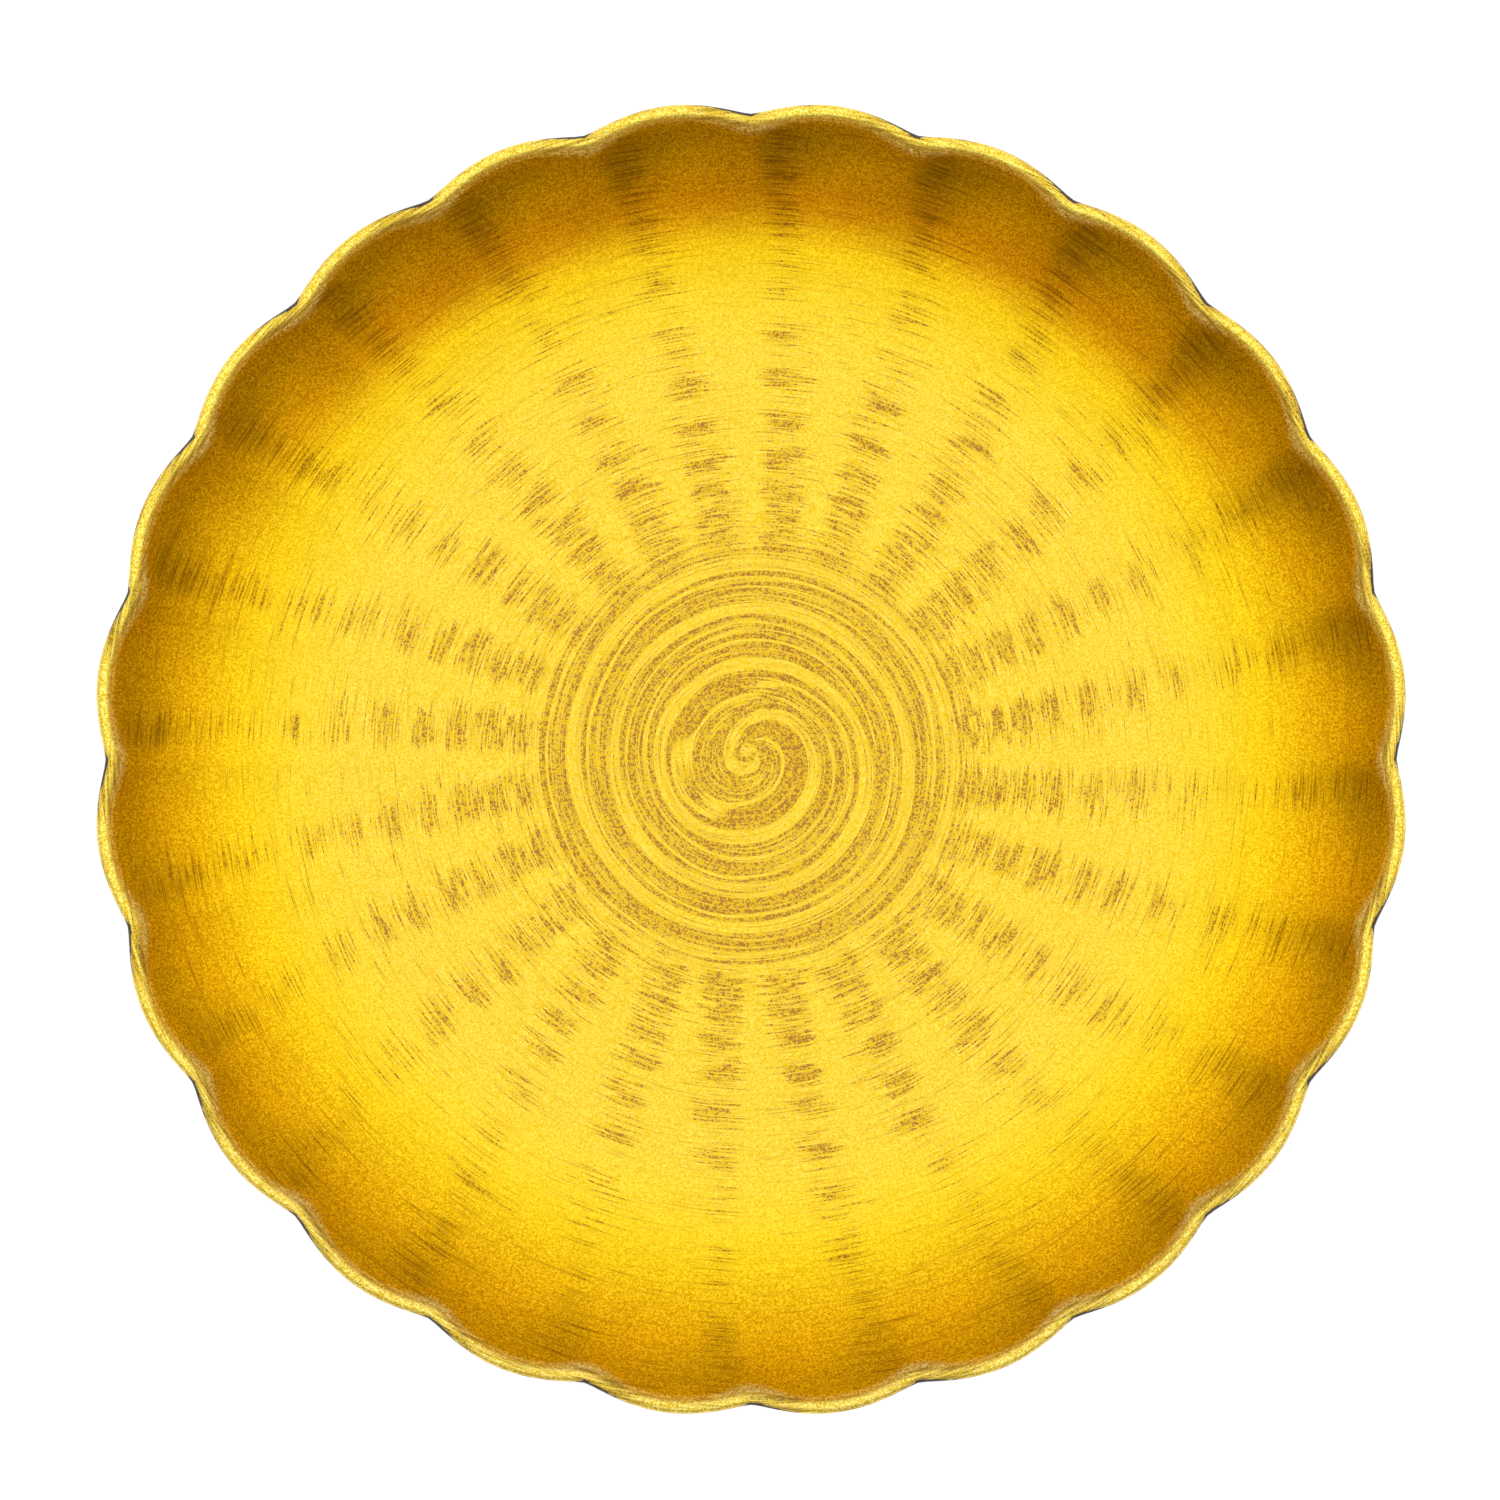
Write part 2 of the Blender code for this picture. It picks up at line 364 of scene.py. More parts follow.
class Paint:
    """Adds nodes to one material, so that a formula reads as a line of calls."""

    def __init__(self, name: str) -> None:
        """Starts a material of this name with its shader."""
        self.material = bpy.data.materials.new(name)
        self.material.use_nodes = True
        self.tree = self.material.node_tree
        self.shader = self.tree.nodes["Principled BSDF"]

    def feed(self, socket: Socket, value: Value) -> None:
        """Links a socket to a node's output, or sets its constant.

        Args:
            socket: the input to feed.
            value: an output, or a number, vector or colour. A colour is given by three numbers.
        """
        if isinstance(value, Socket):
            self.tree.links.new(value, socket)
        elif isinstance(value, tuple) and socket.type == "RGBA":
            socket.default_value = (*value, 1.0)
        else:
            socket.default_value = value

    def node(self, kind: str, inputs: dict | None = None, **settings: object) -> bpy.types.Node:
        """Adds a node.

        Args:
            kind: the node's type.
            inputs: what to feed, by an input's number or name.
            settings: the node's own settings.

        Returns:
            The node.
        """
        made = self.tree.nodes.new(kind)
        for key, value in settings.items():
            setattr(made, key, value)
        for key, value in (inputs or {}).items():
            self.feed(made.inputs[key], value)
        return made

    def maths(self, operation: str, *values: Value, clamp: bool = False) -> Socket:
        """One step of arithmetic on up to three numbers, kept from 0 to 1 by a clamp."""
        inputs = dict(enumerate(values))
        return self.node("ShaderNodeMath", inputs, operation=operation, use_clamp=clamp).outputs[0]

    def total(self, first: Value, second: Value) -> Socket:
        """Two numbers added."""
        return self.maths("ADD", first, second)

    def less(self, first: Value, second: Value) -> Socket:
        """A number less another."""
        return self.maths("SUBTRACT", first, second)

    def product(self, first: Value, second: Value) -> Socket:
        """Two numbers multiplied."""
        return self.maths("MULTIPLY", first, second)

    def line(self, value: Value, slope: Value, start: Value, clamp: bool = False) -> Socket:
        """A number times a slope, plus a start."""
        return self.maths("MULTIPLY_ADD", value, slope, start, clamp=clamp)

    def away(self, value: Value, middle: float) -> Socket:
        """How far a number is from a middle, on either side."""
        return self.maths("ABSOLUTE", self.less(value, middle))

    def vector(self, operation: str, *values: Value) -> bpy.types.Node:
        """One step of arithmetic on vectors."""
        return self.node("ShaderNodeVectorMath", dict(enumerate(values)), operation=operation)

    def scaled(self, vector: Value, factor: Value) -> Socket:
        """A vector times a number."""
        inputs = {0: vector, "Scale": factor}
        return self.node("ShaderNodeVectorMath", inputs, operation="SCALE").outputs[0]

    def joined(self, x: Value, y: Value, z: Value) -> Socket:
        """A vector from three numbers."""
        return self.node("ShaderNodeCombineXYZ", {0: x, 1: y, 2: z}).outputs[0]

    def split(self, vector: Value) -> tuple[Socket, ...]:
        """A vector's three numbers."""
        return tuple(self.node("ShaderNodeSeparateXYZ", {0: vector}).outputs)

    def polar(self, place: Value) -> tuple[Socket, Socket, Socket]:
        """Polar coordinates about the Z axis.

        Args:
            place: the place.

        Returns:
            The radius, the angle in turns from 0 to 1, and the outward direction.
        """
        x, y, _ = self.split(place)
        flat = self.joined(x, y, 0.0)
        radius = self.vector("LENGTH", flat).outputs["Value"]
        turn = self.maths("FRACT", self.product(self.maths("ARCTAN2", y, x), 1 / math.tau))
        return radius, turn, self.vector("NORMALIZE", flat).outputs[0]

    def curve(self, value: Value, points: tuple[Span, ...]) -> Socket:
        """A smooth curve through points.

        Args:
            value: what the curve reads, from 0 to 1.
            points: pairs of what is read and what it gives, in order, all from 0 to 1.

        Returns:
            What the curve gives.
        """
        made = self.node("ShaderNodeFloatCurve", {"Value": value})
        line = made.mapping.curves[0]
        line.points[0].location = points[0]
        line.points[1].location = points[-1]
        for point in points[1:-1]:
            line.points.new(*point)
        made.mapping.update()
        return made.outputs[0]

    def stretched(self, value: Value, times: float) -> Socket:
        """Noise with its distance from a half made greater."""
        return self.line(value, times, 0.5 - times / 2)

    def wander(self, place: Value, scale: float, detail: float, reach: float) -> Socket:
        """Smooth noise that goes from minus to plus a reach."""
        return self.line(self.noise(place, scale, detail), 2 * reach, -reach)

    def bell(self, value: Value, middle: float, reach: float) -> Socket:
        """1 at the middle, and 0 from reach away on both sides."""
        return self.ramp(self.away(value, middle), reach, 0.0)

    def blend(self, factor: Value, first: Value, second: Value) -> Socket:
        """A number between two others."""
        inputs = {0: factor, 2: first, 3: second}
        return self.node("ShaderNodeMix", inputs, data_type="FLOAT").outputs[0]

    def mix(self, factor: Value, first: Value, second: Value, way: str = "MIX") -> Socket:
        """A colour between two others, or one laid over the other in another way."""
        made = self.node("ShaderNodeMix", data_type="RGBA", blend_type=way)
        for number, value in ((0, factor), (6, first), (7, second)):
            self.feed(made.inputs[number], value)
        return made.outputs[2]

    def times(self, first: Value, second: Value) -> Socket:
        """Two colours multiplied."""
        return self.mix(1.0, first, second, "MULTIPLY")

    def place(self) -> Socket:
        """Object coordinates, in millimetres."""
        return self.scaled(self.node("ShaderNodeTexCoord").outputs["Object"], 1 / MM)

    def attribute(self, name: str) -> Socket:
        """A number stored on the mesh."""
        return self.node("ShaderNodeAttribute", attribute_name=name).outputs["Fac"]

    def noise(
        self, vector: Value, scale: float, detail: float = 2.0, rough: float = 0.5
    ) -> Socket:
        """Smooth noise, about 0 to 1 with its middle at a half."""
        inputs = {"Vector": vector, "Scale": scale, "Detail": detail, "Roughness": rough}
        return self.node("ShaderNodeTexNoise", inputs).outputs["Fac"]

    def ramp(
        self, value: Value, low: Value, high: Value, start: Value = 0.0, end: Value = 1.0
    ) -> Socket:
        """An S-curve from start at low to end at high."""
        inputs = dict(enumerate((value, low, high, start, end)))
        return self.node("ShaderNodeMapRange", inputs, interpolation_type="SMOOTHSTEP").outputs[0]

    def bump(self, height: Value, distance: float, strength: float = 1.0) -> Socket:
        """A normal tilted by a height, whose full range is distance metres."""
        inputs = {"Strength": strength, "Distance": distance, "Height": height}
        return self.node("ShaderNodeBump", inputs).outputs[0]

    def set(self, **inputs: Value) -> bpy.types.Material:
        """Feeds the shader's inputs, named with _ for a space, and returns the material."""
        for key, value in inputs.items():
            self.feed(self.shader.inputs[key.replace("_", " ").title()], value)
        return self.material


def srgb(red: int, green: int, blue: int) -> Colour:
    """A colour given in screen values from 0 to 255, as linear shares.

    The formula is the sRGB curve: a straight line near black, and a power of 2.4 above it.

    Args:
        red: the red value.
        green: the green value.
        blue: the blue value.

    Returns:
        The three shares.
    """
    shares = [value / 255 for value in (red, green, blue)]
    return tuple(v / 12.92 if v < 0.04045 else ((v + 0.055) / 1.055) ** 2.4 for v in shares)


@dataclass(frozen=True)
class Zone:
    """What the gold's formulas read at a spot: places in mm, angles in turns.

    Attributes:
        place: the place.
        radius: distance from the Z axis.
        turn: angle around the Z axis, from 0 to 1.
        around: outward direction.
        flute: how far along its flute the spot is, from 0 to 1 counterclockwise.
        lip: distance from the lip's crest, plus towards the centre.
        grain: fine noise.
    """

    place: Socket
    radius: Socket
    turn: Socket
    around: Socket
    flute: Socket
    lip: Socket
    grain: Socket


@dataclass(frozen=True)
class SwirlZone:
    """What the swirl's formulas read at a spot, in mm.

    Attributes:
        below: distance inwards from the brush's stroke.
        radius: distance from the swirl's centre.
        around: outward direction, seen from the swirl's centre.
    """

    below: Socket
    radius: Socket
    around: Socket


@dataclass(frozen=True)
class BrushedGold:
    """Gold brushed along a spiral over a dark ground, thin where the brush lifted.

    Lengths here are in millimetres and angles in turns, as the nodes count them. A pair of radii is
    where a change starts and where it is complete.
    """

    sizes: Sizes
    gold: Colour = srgb(243, 208, 58)  # the gold on the floor
    warm_gold: Colour = srgb(244, 208, 30)  # the gold at the foot of the wall
    deep_gold: Colour = srgb(218, 156, 12)  # the gold high on the wall, darker: partly painted shade of the rising wall
    lip_gold: Colour = srgb(238, 209, 122)  # the gold on the lip, paler: partly painted highlight on the bead
    painted_flank_light: Colour = srgb(206, 182, 130)  # painted light: the pale reflection on the lip's inner flank
    worn: Colour = srgb(150, 82, 30)  # thin gold on the floor
    deep_worn: Colour = srgb(112, 72, 14)  # thin gold on the wall, darker: partly painted shade of the rising wall
    ground: Colour = srgb(64, 43, 42)  # the bare ground
    ground_dark: Colour = srgb(44, 31, 31)  # the bare ground's darker spots
    warm_radii: Span = (98.0, 132.0)  # from the floor's gold to the warm gold
    deep_radii: Span = (117.0, 156.0)  # from the warm gold to the deep gold
    worn_radii: Span = (108.0, 145.0)  # from the floor's worn colour to the wall's
    wall_radii: Span = (120.0, 148.0)  # from no wall grain to all of it
    flute_radii: Span = (47.0, 66.0)  # from the swirl to the flutes
    grain_ends: Span = (0.15, 0.85)  # the fine noise at which the grain is darkest and lightest
    # The darkest and lightest grain, as colours to multiply with
    grain_shades: tuple[Colour, Colour] = ((0.84, 0.76, 0.12), (1.13, 1.2, 2.25))
    # The same for the coarser grain on the wall
    wall_grain_shades: tuple[Colour, Colour] = ((0.8, 0.76, 0.25), (1.22, 1.26, 0.65))
    # The darkest spot behind a ridge, as a colour to multiply with: thin paint there, and painted
    # shade
    lee_shade: Colour = (0.36, 0.42, 0.6)
    lit_shade: Colour = (1.13, 1.12, 0.95)  # painted light: the wall's bright sides, as a colour to multiply with
    far_wall_painted_shade: Colour = (0.78, 0.6, 0.6)  # painted shade: the wall's darker, redder side at +Y, as a colour to multiply with
    far_share: float = 0.3  # how much more the gold is worn, and the painted shade deeper, towards +Y
    patch_edge: float = 170.0  # the radius at the end of patch_curve
    # How thin the patches are, against the radius as a share of patch_edge
    patch_curve: tuple[Span, ...] = (
        (0.0, 0.43), (0.38, 0.43), (0.5, 0.34), (0.56, 0.315), (0.62, 0.285), (0.68, 0.25),
        (0.74, 0.28), (0.8, 0.4), (0.86, 0.52), (1.0, 0.5),
    )
    band_rate: float = 8.85  # thin bands met while the radius grows by a factor of e
    band_radius: float = 63.6  # about where one of the thin bands crosses the X axis
    swirl_place: Place = (-1.3, 1.8, 0.0)  # the swirl's centre
    swirl_edge: float = 75.0  # the unit of the stroke's distances on its curve
    stroke_reach: float = 3.2  # a turn of the stroke still counts when it is this much further in
    turns: int = 6  # how many turns the stroke makes
    # The brush's path, as (turns gone inwards, distance from the swirl's centre)
    stroke: tuple[Span, ...] = (
        (0.0, 64.6), (0.25, 60.1), (0.5, 54.9), (0.75, 56.4), (1.0, 52.9), (1.25, 48.6),
        (1.5, 44.3), (1.75, 45.6), (1.875, 44.8), (2.0, 41.6), (2.25, 37.1), (2.5, 34.4),
        (2.75, 35.7), (2.875, 34.1), (3.0, 30.3), (3.125, 25.6), (3.25, 22.7), (3.375, 21.7),
        (3.5, 22.3), (3.625, 23.2), (3.75, 21.9), (3.875, 19.8), (4.0, 17.2), (4.125, 12.9),
        (4.25, 7.9), (4.375, 4.6), (4.5, 4.1), (4.65, 4.5), (4.8, 3.8), (4.9, 2.5), (5.1, 0.8),
        (5.4, 0.0),
    )

    def material(self) -> bpy.types.Material:
        """Builds the node tree from the gold's layers."""
        return GoldLayers(self).material()


class GoldLayers:
    """The gold's layers, each a formula of nodes.

    Attributes:
        look: the finish.
        p: the material's nodes.
        zone: what the formulas read at a spot.
        swirl_zone: what the swirl's formulas read there.
    """

    def __init__(self, look: BrushedGold) -> None:
        """Starts the material and works out what the formulas read."""
        self.look = look
        self.p = Paint("brushed_gold")
        self.zone = self.read_zone()
        self.swirl_zone = self.read_swirl()

    def material(self) -> bpy.types.Material:
        """Lays the layers over each other.

        Where the brush never reached, the ground shows in place of the gold. Bare ground and the
        painted light on the lip's flank are less of a metal. The brush marks are rougher and stand
        up, and worn gold lies lower.

        Returns:
            The material.
        """
        p, zone, look = self.p, self.zone, self.look
        streak = self.streaks()
        inner, outer = self.swirl(), self.rays()
        on_lip, lip_thin = self.on_lip()
        thin = p.blend(p.ramp(zone.radius, *look.flute_radii), inner, outer)
        thin = p.blend(on_lip, thin, lip_thin)
        marks = p.blend(0.5, streak, zone.grain)
        worn = self.worn_share(thin, marks)
        painted_flank_light = self.flank()
        colour = self.grained(self.plain_gold(on_lip, painted_flank_light, worn))
        # Thin paint and painted shade behind each ridge, then painted light and shade on the wall's
        # sides
        colour = p.times(p.times(colour, self.lee_thin_paint_and_shade()), self.sides())
        bare = self.bare(streak)
        spots = p.ramp(p.noise(zone.place, 0.12, 4.0), 0.35, 0.65)
        colour = p.mix(bare, colour, p.mix(spots, look.ground, look.ground_dark))
        metal = p.line(painted_flank_light, -0.8, p.line(bare, -0.85, 1.0), clamp=True)
        rough = p.line(worn, 0.1, p.line(marks, 0.2, 0.32))
        normal = p.bump(p.total(marks, p.product(worn, -0.6)), 0.04 * MM, 0.5)
        return p.set(base_color=colour, metallic=metal, roughness=rough, normal=normal)

    def read_zone(self) -> Zone:
        """Works out what the other formulas read.

        The place along a flute is the part after the point of the turn times the number of flutes.

        Returns:
            The zone.
        """
        p = self.p
        place = p.place()
        radius, turn, around = p.polar(place)
        flute = p.maths("FRACT", p.product(turn, float(self.look.sizes.flute_count)))
        lip = p.product(p.attribute(LIP_RUN), 1 / MM)
        grain = p.stretched(p.blend(0.4, p.noise(place, 2.7, 1.0), p.noise(place, 1.4, 1.0)), 2.0)
        return Zone(place, radius, turn, around, flute, lip, grain)

    def read_swirl(self) -> SwirlZone:
        """Works out what the swirl's formulas read.

        The stroke's path is read once for each turn that it makes, and the spot's radius is taken
        from it. The least of these distances counts, but a turn that is well further in doesn't.

        Returns:
            The swirl's zone.
        """
        p, look, far_off = self.p, self.look, 100.0
        place = p.vector("SUBTRACT", self.zone.place, look.swirl_place).outputs[0]
        radius, turn, around = p.polar(place)
        path = tuple((turns / look.turns, out / look.swirl_edge) for turns, out in look.stroke)
        below = far_off
        for gone in range(look.turns):
            share = p.line(turn, 1 / look.turns, gone / look.turns)
            gap = p.less(p.product(p.curve(share, path), look.swirl_edge), radius)
            passed = p.maths("LESS_THAN", gap, -look.stroke_reach)
            below = p.maths("MINIMUM", below, p.line(passed, far_off, gap))
        return SwirlZone(below, radius, around)

    def streaks(self) -> Socket:
        """Bristle marks: noise that is long along the brush's way and fine across it.

        The noise reads the outward direction times a number, so it closes on itself, and a distance
        across the marks as its third coordinate. A small number makes long marks. In the swirl the
        distance is counted from the stroke, and outside it from the axis.

        Returns:
            The marks, about 0 to 1.
        """
        p, zone, swirl = self.p, self.zone, self.swirl_zone
        x, y, _ = p.split(p.scaled(swirl.around, 1.3))
        long = p.line(swirl.radius, 0.13, x)
        inner = p.noise(p.joined(long, y, p.product(swirl.below, 2.0)), 1.0, 2.0, 0.65)
        x, y, _ = p.split(p.scaled(zone.around, 9.0))
        outer = p.noise(p.joined(x, y, p.product(zone.radius, 2.1)), 1.0, 1.0, 0.6)
        return p.stretched(p.blend(p.ramp(swirl.radius, 50.0, 60.0), inner, outer), 2.2)

    def swirl(self) -> Socket:
        """How thin the gold lies in the middle, from 0 to 1.

        Thick in the broad stroke and in two fine lines inside it, thin along the stroke's edges
        and in the hollow between the stroke and the first line, which is widest near the centre.

        Returns:
            The thinness.
        """
        p, zone, swirl = self.p, self.zone, self.swirl_zone
        below = swirl.below
        sway = p.wander(zone.place, 0.035, 1.0, 2.0)
        near = p.ramp(swirl.radius, 20.5, 13.0)
        past_first = p.less(below, p.total(p.line(near, 5.0, 3.6), sway))
        arm = p.ramp(p.maths("ABSOLUTE", below), 2.1, 1.3)
        edge = p.bell(p.maths("ABSOLUTE", below), 2.4, 0.4)
        line = p.bell(past_first, 0.0, 0.7)
        second = p.bell(below, 8.3, 0.6)
        hollow = p.product(p.ramp(below, 1.8, 2.6), p.ramp(past_first, 0.3, -0.6))
        hollow = p.product(hollow, p.ramp(swirl.radius, 36.0, 14.0, 0.04, 0.12))
        thin = p.total(hollow, p.ramp(swirl.radius, 26.0, 50.0, 0.4, 0.37))
        thin = p.line(edge, 0.16, thin)
        for gold, share in ((line, 0.95), (second, 0.85), (arm, 0.84)):
            thin = p.product(thin, p.line(gold, -share, 1.0))
        return thin

    def rays(self) -> Socket:
        """How thin the gold lies on the flutes, from 0 to 1.

        Each flute has a thin patch on its far side, which narrows outwards, and the brush's turns
        cut the patches into bands. The turns widen in proportion to the radius, so their phase is
        the radius's logarithm, plus the angle.

        Returns:
            The thinness.
        """
        p, zone, look = self.p, self.zone, self.look
        ragged = p.wander(zone.place, 0.8, 2.0, 0.18)
        past_start = p.less(p.total(zone.flute, ragged), p.line(zone.radius, 0.0058, -0.1))
        begun = p.ramp(past_start, -0.22, 0.17)
        ended = p.ramp(p.line(ragged, 0.3, zone.flute), 1.0, 0.73)
        phase = p.line(p.maths("LOGARITHM", zone.radius, math.e), look.band_rate, zone.turn)
        phase = p.total(phase, p.wander(zone.place, 0.04, 1.0, 0.4))
        phase = p.total(phase, -look.band_rate * math.log(look.band_radius))
        band = p.maths("COSINE", p.product(phase, math.tau))
        band = p.product(band, p.ramp(zone.radius, 60.0, 92.0, 0.15, 0.6))
        band = p.product(band, p.ramp(zone.radius, 112.0, 132.0, 1.0, 0.35))
        amount = p.curve(p.product(zone.radius, 1 / look.patch_edge), look.patch_curve)
        patch = p.product(p.product(begun, ended), p.product(amount, p.total(band, 1.0)))
        # Thinner towards +Y: partly thin gold and partly painted shade of the far wall
        return p.product(patch, p.line(self.far_side(), look.far_share, 1.0))

    def worn_share(self, thin: Socket, marks: Socket) -> Socket:
        """How much of the worn colour shows, from 0 to 1.

        It is the marks plus a share of the thinness less a limit, made steep, so that the worn
        spots follow the marks. The grain breaks them up.

        Args:
            thin: how thin the gold lies.
            marks: the brush marks and the grain together.

        Returns:
            The share.
        """
        p, zone, look = self.p, self.zone, self.look
        over = p.line(thin, 0.6, p.ramp(zone.radius, *look.flute_radii, -0.6, -0.7))
        slope = p.ramp(zone.radius, *look.flute_radii, 4.5, 6.0)
        worn = p.maths("MULTIPLY", p.total(marks, over), slope, clamp=True)
        return p.product(worn, p.ramp(zone.grain, 0.38, 0.62, 0.16, 0.84))

    def plain_gold(self, on_lip: Socket, painted_flank_light: Socket, worn: Socket) -> Socket:
        """The gold's colour before its grain: floor, wall (partly painted shade), lip (partly
        painted highlight), then the painted light on the lip's flank and what is worn.

        Args:
            on_lip: how much of the lip's gold there is.
            painted_flank_light: how much painted light there is on the lip's flank.
            worn: how much of the worn colour shows.

        Returns:
            The colour.
        """
        p, zone, look = self.p, self.zone, self.look
        colour = p.mix(p.ramp(zone.radius, *look.warm_radii), look.gold, look.warm_gold)
        # Darker gold up the wall, partly painted shade of the rising wall
        colour = p.mix(p.ramp(zone.radius, *look.deep_radii), colour, look.deep_gold)
        # Paler gold on the lip, partly a painted highlight on the bead
        colour = p.mix(on_lip, colour, look.lip_gold)
        # Painted light on the lip's inner flank
        colour = p.mix(painted_flank_light, colour, look.painted_flank_light)
        # The worn colour also darkens up the wall, partly painted shade
        brown = p.mix(p.ramp(zone.radius, *look.worn_radii), look.worn, look.deep_worn)
        return p.mix(worn, colour, brown)

    def grained(self, colour: Socket) -> Socket:
        """A colour with the grain in it, which is coarser on the wall.

        Args:
            colour: the colour without the grain.

        Returns:
            The colour times the grain's shades.
        """
        p, zone, look = self.p, self.zone, self.look
        grain = p.ramp(zone.grain, *look.grain_ends)
        colour = p.times(colour, p.mix(grain, *look.grain_shades))
        on_wall = p.ramp(zone.radius, *look.wall_radii)
        return p.times(colour, p.mix(on_wall, WHITE, p.mix(grain, *look.wall_grain_shades)))

    def far_side(self) -> Socket:
        """How far a spot near the rim lies towards +Y, from -1 to 1, and 0 on the floor."""
        return self.p.product(self.across(), self.p.ramp(self.zone.radius, 110.0, 140.0))

    def across(self) -> Socket:
        """The spot's Y as a share of the rim's radius."""
        y = self.p.split(self.zone.place)[1]
        return self.p.product(y, MM / self.look.sizes.rim_radius)

    def near_notch(self, after: Span, before: Span) -> Socket:
        """1 near a notch and 0 away from it, with an S-curve on each side."""
        p, zone = self.p, self.zone
        return p.maths("MAXIMUM", p.ramp(zone.flute, *after), p.ramp(zone.flute, *before))

    def on_lip(self) -> tuple[Socket, Socket]:
        """Where the lip's paler gold lies, partly a painted highlight on the bead, and how thin it
        lies there.

        It is thin in one patch on each scallop, along its outer edge, and at the notches.

        Returns:
            Both, from 0 to 1.
        """
        p, zone = self.p, self.zone
        on = p.ramp(p.away(zone.lip, 0.4), 3.8, 1.2)
        patch = p.bell(zone.flute, 0.2, 0.25)
        notch = p.ramp(p.away(zone.flute, 0.5), 0.36, 0.5)
        edge = p.line(notch, 0.3, p.ramp(zone.lip, -1.2, -2.1, 0.06, 0.5))
        return on, p.line(patch, 0.4, edge)

    def flank(self) -> Socket:
        """How much pale painted light lies over the gold on the lip's inner side, most of it near a
        notch.

        It starts just inside the crest and ends at a distance that is greater near a notch.

        Returns:
            The share, from 0 to 1.
        """
        p, zone = self.p, self.zone
        notch = self.near_notch((0.38, 0.05), (0.66, 0.95))
        ended = p.ramp(p.maths("DIVIDE", zone.lip, p.line(notch, 2.2, 3.6)), 1.0, 0.5)
        on = p.product(p.ramp(zone.lip, 0.8, 2.0), ended)
        share = p.product(p.line(notch, 0.45, 0.4), p.ramp(zone.grain, 0.25, 0.7, 0.35, 1.0))
        return p.product(on, share)

    def lee_thin_paint_and_shade(self) -> Socket:
        """A colour to multiply with: darker on the wall just inside the lip, behind each ridge. It
        is partly thin paint and partly painted shade, which deepens towards +Y.

        It fades with the distance from the lip, over a length that is greater behind a ridge.

        Returns:
            The colour, white where there is no shade.
        """
        p, zone, look = self.p, self.zone, self.look
        ridge = p.product(p.ramp(zone.flute, 0.12, 0.78), p.ramp(zone.flute, 1.04, 0.86))
        faded = p.ramp(p.maths("DIVIDE", zone.lip, p.line(ridge, 11.0, 12.0)), 1.3, 0.3)
        onset = p.product(p.ramp(zone.lip, 2.0, 4.8), p.ramp(zone.lip, 2.0, 9.0, 0.6, 1.0))
        amount = p.product(p.product(faded, onset), p.line(ridge, 0.22, 0.26))
        # The painted shade deepens towards +Y
        amount = p.product(amount, p.line(self.far_side(), look.far_share, 1.0))
        return p.mix(amount, WHITE, look.lee_shade)

    def sides(self) -> Socket:
        """A colour to multiply with on the wall, of painted light and shade: darker and redder at
        +Y, and brighter but for -Y.

        Returns:
            The colour, white on the floor.
        """
        p, zone, look = self.p, self.zone, self.look
        y = self.across()
        # Painted light on the wall but for -Y, and painted shade on it at +Y
        lit = p.product(p.ramp(y, -0.8, -0.2), p.ramp(zone.radius, 124.0, 133.0))
        far_wall_shade = p.product(p.ramp(y, 0.3, 0.75), p.bell(zone.radius, 143.0, 14.0))
        painted_light_colour = p.mix(lit, WHITE, look.lit_shade)
        return p.times(painted_light_colour, p.mix(far_wall_shade, WHITE, look.far_wall_painted_shade))

    def bare(self, streak: Socket) -> Socket:
        """1 where the brush never reached: outside the lip and underneath.

        The gold ends a little outside the lip's crest, sooner at a notch, and the marks fray it.

        Args:
            streak: the bristle marks.

        Returns:
            The share, from 0 to 1.
        """
        p, zone = self.p, self.zone
        notch = self.near_notch((0.34, 0.04), (0.93, 1.0))
        end = p.line(streak, 0.5, p.less(p.line(notch, 1.3, -2.2), 0.25))
        return p.ramp(p.less(zone.lip, end), 0.15, -0.15)


@dataclass(frozen=True)
class DrawnSteel:
    """Plain drawn wire with a few brown stains."""

    steel: Colour = srgb(150, 147, 142)
    stain: Colour = srgb(96, 82, 70)

    def material(self) -> bpy.types.Material:
        """Builds the node tree: noise makes the stains, which are rougher.

        Returns:
            The material.
        """
        p = Paint("drawn_steel")
        spots = p.noise(p.place(), 0.8, 3.0)
        colour = p.mix(p.ramp(spots, 0.5, 0.75), self.steel, self.stain)
        rough = p.line(spots, 0.25, 0.3)
        normal = p.bump(spots, 0.02 * MM, 0.4)
        return p.set(base_color=colour, metallic=1.0, roughness=rough, normal=normal)


@dataclass(frozen=True)
class DarkBrass:
    """Turned brass under a dark, mottled ground, with fine grooves from the lathe."""

    dark: Colour = srgb(84, 58, 44)
    rubbed: Colour = srgb(128, 92, 48)

    def material(self) -> bpy.types.Material:
        """Builds the node tree: the grooves are noise that reads only the radius and height.

        Returns:
            The material.
        """
        p = Paint("dark_brass")
        place = p.place()
        x, y, z = p.split(place)
        radius = p.vector("LENGTH", p.joined(x, y, 0.0)).outputs["Value"]
        grooves = p.noise(p.joined(radius, z, 0.0), 5.0, 2.0)
        mottled = p.noise(place, 0.18, 3.0)
        colour = p.mix(p.ramp(mottled, 0.35, 0.7), self.dark, self.rubbed)
        rough = p.line(mottled, 0.3, 0.26)
        normal = p.bump(grooves, 0.05 * MM, 0.5)
        return p.set(base_color=colour, metallic=0.9, roughness=rough, normal=normal)


